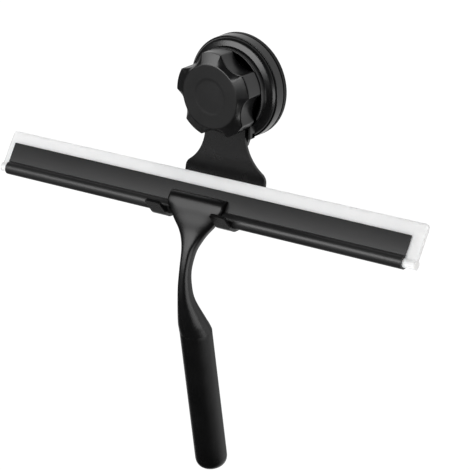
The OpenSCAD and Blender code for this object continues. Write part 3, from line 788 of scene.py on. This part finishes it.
def makeHandleNeck(size):
    # superellipse sections |x/a|^n + |d/b|^n = 1 carried up the neck; what would sink into the
    # channel is moved out to the bead's circle or to the channel's face
    rows = [list(row) for row in size["low"]]
    for u, d, a, b, n in size["head"]:
        y, z = onFace(u, d)
        rows.append([y - hangLine[0], z - hangLine[1], a, b, -channelSize["faceLean"], n])
    rows = throughRows(np.array(rows, float), size["between"])
    k = np.linspace(0, 2 * np.pi, size["around"], endpoint=False)
    power = 2 / rows[:, 5][:, None]
    c, s = np.cos(k), np.sin(k)
    x = rows[:, 2][:, None] * np.sign(c) * np.abs(c) ** power
    d = rows[:, 3][:, None] * np.sign(s) * np.abs(s) ** power
    lean = np.radians(rows[:, 4])[:, None]
    y = rows[:, 0][:, None] + d * np.cos(lean)
    z = rows[:, 1][:, None] + d * np.sin(lean)
    # into the channel's own (u, d)
    tilt = math.radians(channelSize["faceLean"])
    at = channelSize["grooveAt"]
    up = (y - at[0]) * math.sin(tilt) + (z - at[1]) * math.cos(tilt)
    out = -(y - at[0]) * math.cos(tilt) + (z - at[1]) * math.sin(tilt)
    bead, reach = channelSize["beadAt"], channelSize["beadRadius"] + size["clearance"]
    fromBead = np.hypot(up - bead[0], out - bead[1])
    inBead = (fromBead < reach) & (out > bead[1] - size["beadSide"])
    push = np.where(inBead, reach / np.maximum(fromBead, size["nearest"]), 1)
    up, out = bead[0] + (up - bead[0]) * push, bead[1] + (out - bead[1]) * push
    inFace = (up > size["faceFrom"]) & (out < size["clearance"])
    out = np.where(inFace, size["clearance"], out)
    y, z = onFace(up, out)
    points = np.stack([x, y, z], -1)
    middle = points.mean(1, keepdims=True)
    low, high = (np.repeat(end, points.shape[1], 1) for end in (middle[:1], middle[-1:]))
    points = np.concatenate([low, points, high])
    return makePiece("handleNeck", points, gridFaces(*points.shape[:2], False, True),
                     "squeegee", ["handle_neck"], sharp=55)


gripSize = {
    "radius": 9.9, "length": 87.4, "lean": 9.8, "shoulder": (-0.3, -71),
    "endLength": 8.4, "endPower": 2.6, "joint": 0.05, "capGap": 0.02, "capStep": 0.1,
}


def downGrip(r, h, turns=128):
    # a profile of (radius, distance down from the shoulder) turned about the leaning axis
    lean = math.radians(gripSize["lean"])
    a = np.linspace(0, 2 * np.pi, turns, endpoint=False)
    r, h = np.asarray(r, float)[:, None], np.asarray(h, float)[:, None]
    x, side = r * np.cos(a), r * np.sin(a)
    y = gripSize["shoulder"][0] + hangLine[0] + h * math.sin(lean) + side * math.cos(lean)
    z = gripSize["shoulder"][1] + hangLine[1] - h * math.cos(lean) + side * math.sin(lean)
    return np.stack([x, y, z], -1)


def makeGripTube(size):
    g = size
    profile = roundCorners(
        [[pole, 0], [g["radius"], 0], [g["radius"], g["length"]], [pole, g["length"]]],
        [0, g["joint"], g["joint"], 0], steps=6, closed=False)
    profile = denser(profile, longest=2.5, closed=False)
    points = downGrip(profile[:, 0], profile[:, 1])
    return makePiece("gripTube", points, gridFaces(*points.shape[:2], False, True),
                     "squeegee", ["grip_tube"], sharp=50)


def makeGripEnd(size):
    # quarter of a superellipse: radius against length, with a small rounded joint edge
    g = size
    t = np.linspace(0, np.pi / 2, 40)
    r = g["radius"] * np.cos(t) ** (2 / g["endPower"])
    h = g["length"] + g["endLength"] * np.sin(t) ** (2 / g["endPower"])
    e, start = g["joint"], g["length"] + g["capGap"]
    r = np.concatenate([[pole, g["radius"] - e, g["radius"] - 0.3 * e], r])
    h = np.concatenate([[start, start, g["length"] + g["capStep"]], np.maximum(h, g["length"] + e)])
    points = downGrip(r, h)
    return makePiece("gripEnd", points, gridFaces(*points.shape[:2], False, True),
                     "squeegee", ["grip_end_cap"], sharp=50)


handleNeck = makeHandleNeck(neckSize)
dress(handleNeck, "neckBlack")
gripTube = makeGripTube(gripSize)
dress(gripTube, "gripBlack")
gripEnd = makeGripEnd(gripSize)
dress(gripEnd, "gripBlack")
print("handle made")

hardware = {"threaded_stud": "platedSteel", "knob_nut": "platedSteel", "head_pins": "platedSteel",
            "joining_stud": "platedSteel", "thrust_washer": "washerNylon"}
for nodeName, finish in hardware.items():
    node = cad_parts[nodeName]
    node.data.materials.clear()
    node.data.materials.append(finishes[finish])
print("hardware dressed")

studio = {
    "floorHeight": -620, "floorRadius": 9000, "floorSides": 96,
    "floorTone": 0.75, "floorRough": 0.8, "whiteLevel": 1.05,
    "room": [(0.05, 0.04), (0.65, 1.0), (0.8, 1.0), (0.97, 0.3)],  # reach towards +Y, brightness there
    "lights": {
        # name: where it stands, where it points, width, height, power in watts
        "leftBox": ((-460, -1340, 440), (0, -30, -20), 1400, 820, 20),
        "rightPanel": ((1190, -190, -330), (0, -30, -20), 1250, 600, 8.5),
        "lowFill": ((-780, -1100, -440), (0, -30, -20), 900, 330, 0.5),
    },
}
view = {
    "aim": (20.75, -37.15, -81.06), "azimuth": 35.98, "elevation": 19.64,
    "distance": 1687, "lens": 217.53, "sensor": 36, "farthest": 30000,
}


def makeFloor(size):
    # a wide disc that reads white where it is seen and bounces light as a pale grey
    sides = size["floorSides"]
    a = np.linspace(0, 2 * np.pi, sides, endpoint=False)
    ring = np.column_stack([size["floorRadius"] * np.cos(a), size["floorRadius"] * np.sin(a),
                            np.full(sides, size["floorHeight"])]) * mm
    mesh = bpy.data.meshes.new("floor")
    mesh.from_pydata(ring.tolist(), [], [list(range(sides))])
    floor = bpy.data.objects.new("floor", mesh)
    bpy.context.scene.collection.objects.link(floor)
    material = bpy.data.materials.new("paleFloor")
    material.use_nodes = True
    tree = material.node_tree
    shader = tree.nodes["Principled BSDF"]
    tone = size["floorTone"]
    shader.inputs["Base Color"].default_value = (tone, tone, tone, 1)
    shader.inputs["Roughness"].default_value = size["floorRough"]
    seen = tree.nodes.new("ShaderNodeEmission")
    seen.inputs["Strength"].default_value = size["whiteLevel"]
    path = tree.nodes.new("ShaderNodeLightPath")
    mix = tree.nodes.new("ShaderNodeMixShader")
    tree.links.new(path.outputs["Is Camera Ray"], mix.inputs["Fac"])
    tree.links.new(shader.outputs["BSDF"], mix.inputs[1])
    tree.links.new(seen.outputs["Emission"], mix.inputs[2])
    tree.links.new(mix.outputs["Shader"], tree.nodes["Material Output"].inputs["Surface"])
    floor.data.materials.append(material)
    floor.visible_glossy = False


def makeWorld(size):
    # the room's brightness follows how far a direction points to +Y: a dim front, a white ring
    # towards the wall side, darker straight behind; it reads plain white where it is seen
    world = bpy.data.worlds.new("studio")
    bpy.context.scene.world = world
    world.use_nodes = True
    tree = world.node_tree
    coordinates = tree.nodes.new("ShaderNodeTexCoord")
    parts = tree.nodes.new("ShaderNodeSeparateXYZ")
    fade = tree.nodes.new("ShaderNodeValToRGB")
    fade.color_ramp.interpolation = "EASE"
    for k, (reach, level) in enumerate(size["room"]):
        stop = fade.color_ramp.elements[k] if k < 2 else fade.color_ramp.elements.new(1)
        stop.position = reach
        stop.color = (level, level, level, 1)
    room = tree.nodes["Background"]
    room.inputs["Strength"].default_value = 1
    tree.links.new(coordinates.outputs["Generated"], parts.inputs["Vector"])
    tree.links.new(parts.outputs["Y"], fade.inputs["Fac"])
    tree.links.new(fade.outputs["Color"], room.inputs["Color"])
    seen = tree.nodes.new("ShaderNodeBackground")
    seen.inputs["Color"].default_value = (1, 1, 1, 1)
    seen.inputs["Strength"].default_value = size["whiteLevel"]
    path = tree.nodes.new("ShaderNodeLightPath")
    mix = tree.nodes.new("ShaderNodeMixShader")
    tree.links.new(path.outputs["Is Camera Ray"], mix.inputs["Fac"])
    tree.links.new(room.outputs["Background"], mix.inputs[1])
    tree.links.new(seen.outputs["Background"], mix.inputs[2])
    tree.links.new(mix.outputs["Shader"], tree.nodes["World Output"].inputs["Surface"])


def makeLights(size):
    for name, (place, target, width, height, power) in size["lights"].items():
        light = bpy.data.lights.new(name, "AREA")
        light.shape = "RECTANGLE"
        light.size, light.size_y = width * mm, height * mm
        light.energy = power
        lamp = bpy.data.objects.new(name, light)
        bpy.context.scene.collection.objects.link(lamp)
        lamp.location = Vector(place) * mm
        lamp.visible_camera = False
        towards = Vector(target) - Vector(place)
        lamp.rotation_euler = towards.to_track_quat("-Z", "Y").to_euler()


def makeCamera(size):
    az, el = math.radians(size["azimuth"]), math.radians(size["elevation"])
    back = Vector((math.sin(az) * math.cos(el), -math.cos(az) * math.cos(el), math.sin(el)))
    right = Vector((math.cos(az), math.sin(az), 0))
    up = back.cross(right)
    camera = bpy.data.cameras.new("camera")
    camera.lens, camera.sensor_width = size["lens"], size["sensor"]
    camera.clip_end = size["farthest"] * mm
    holder = bpy.data.objects.new("camera", camera)
    bpy.context.scene.collection.objects.link(holder)
    place = Matrix((right, up, back)).transposed().to_4x4()
    place.translation = (Vector(size["aim"]) + back * size["distance"]) * mm
    holder.matrix_world = place
    bpy.context.scene.camera = holder


makeFloor(studio)
makeWorld(studio)
makeLights(studio)
makeCamera(view)
bpy.context.scene.view_settings.view_transform = "Standard"
print("studio set")
